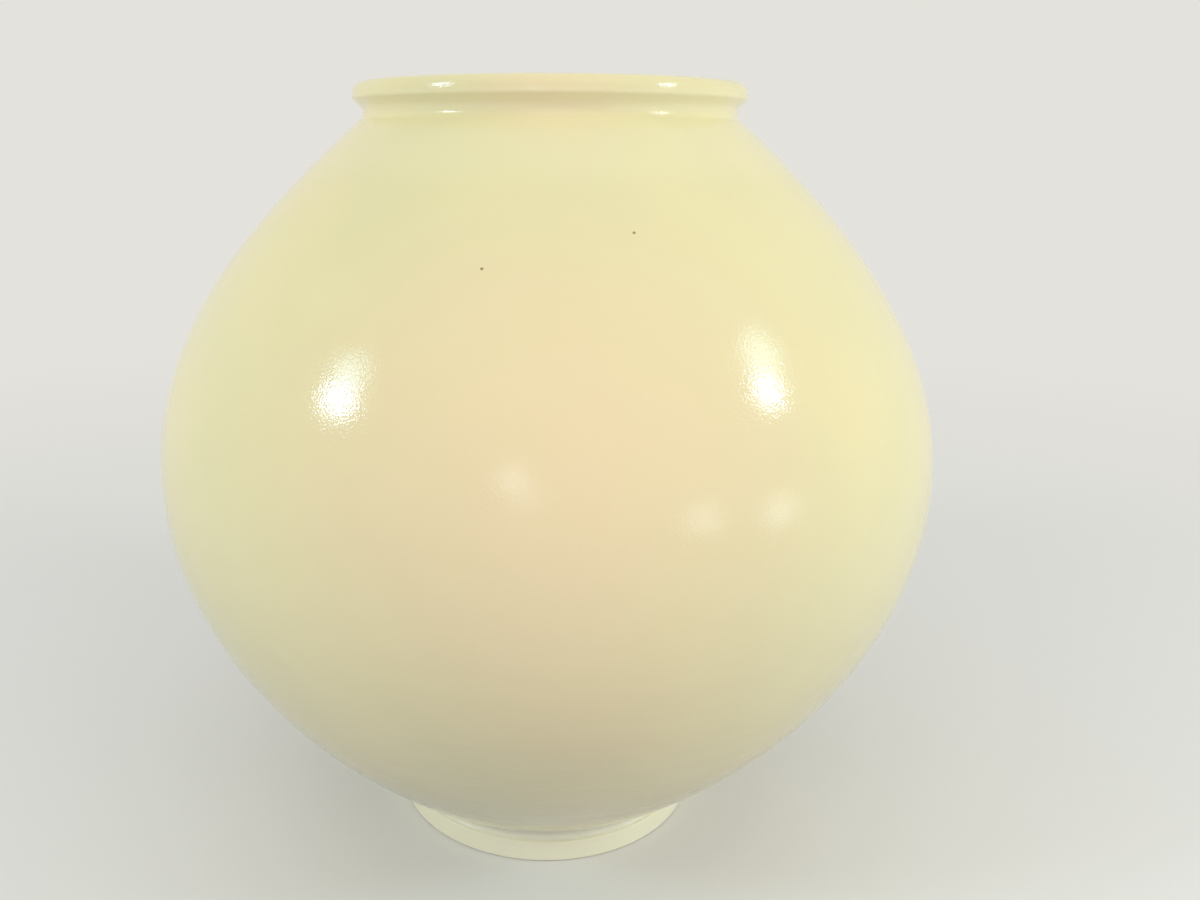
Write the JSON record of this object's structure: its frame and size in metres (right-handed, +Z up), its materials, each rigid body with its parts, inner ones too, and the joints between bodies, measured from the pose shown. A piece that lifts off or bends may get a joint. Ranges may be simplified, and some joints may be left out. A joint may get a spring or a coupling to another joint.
{
  "type": "porcelain moon jar",
  "caption": "Large round white porcelain jar made of two thrown bowls luted at the waist, with a low foot ring, a short hollow neck and a thick rounded lip.",
  "frame": {"origin": "centre of the foot ring's resting face", "axes": "+Z up along the axis the jar was thrown on; X and Y are any two directions across it"},
  "size_m": [0.4, 0.4, 0.3927],
  "materials": {
    "glazed_porcelain": "warm ivory glaze, glossy, with a fine orange-peel surface",
    "foot_porcelain": "the same ivory glaze, wiped off the resting edge to bare fired clay",
    "luting_slip": "fired porcelain slip, matt, glazed over where it meets the surface"
  },
  "bodies": {
    "root": {"foot_ring": "foot_porcelain", "foot_slip": "luting_slip", "lower_bowl": "glazed_porcelain", "waist_slip": "luting_slip", "seam_coil": "glazed_porcelain", "upper_bowl": "glazed_porcelain", "neck_slip": "luting_slip", "collar": "glazed_porcelain"}
  },
  "joints": []
}
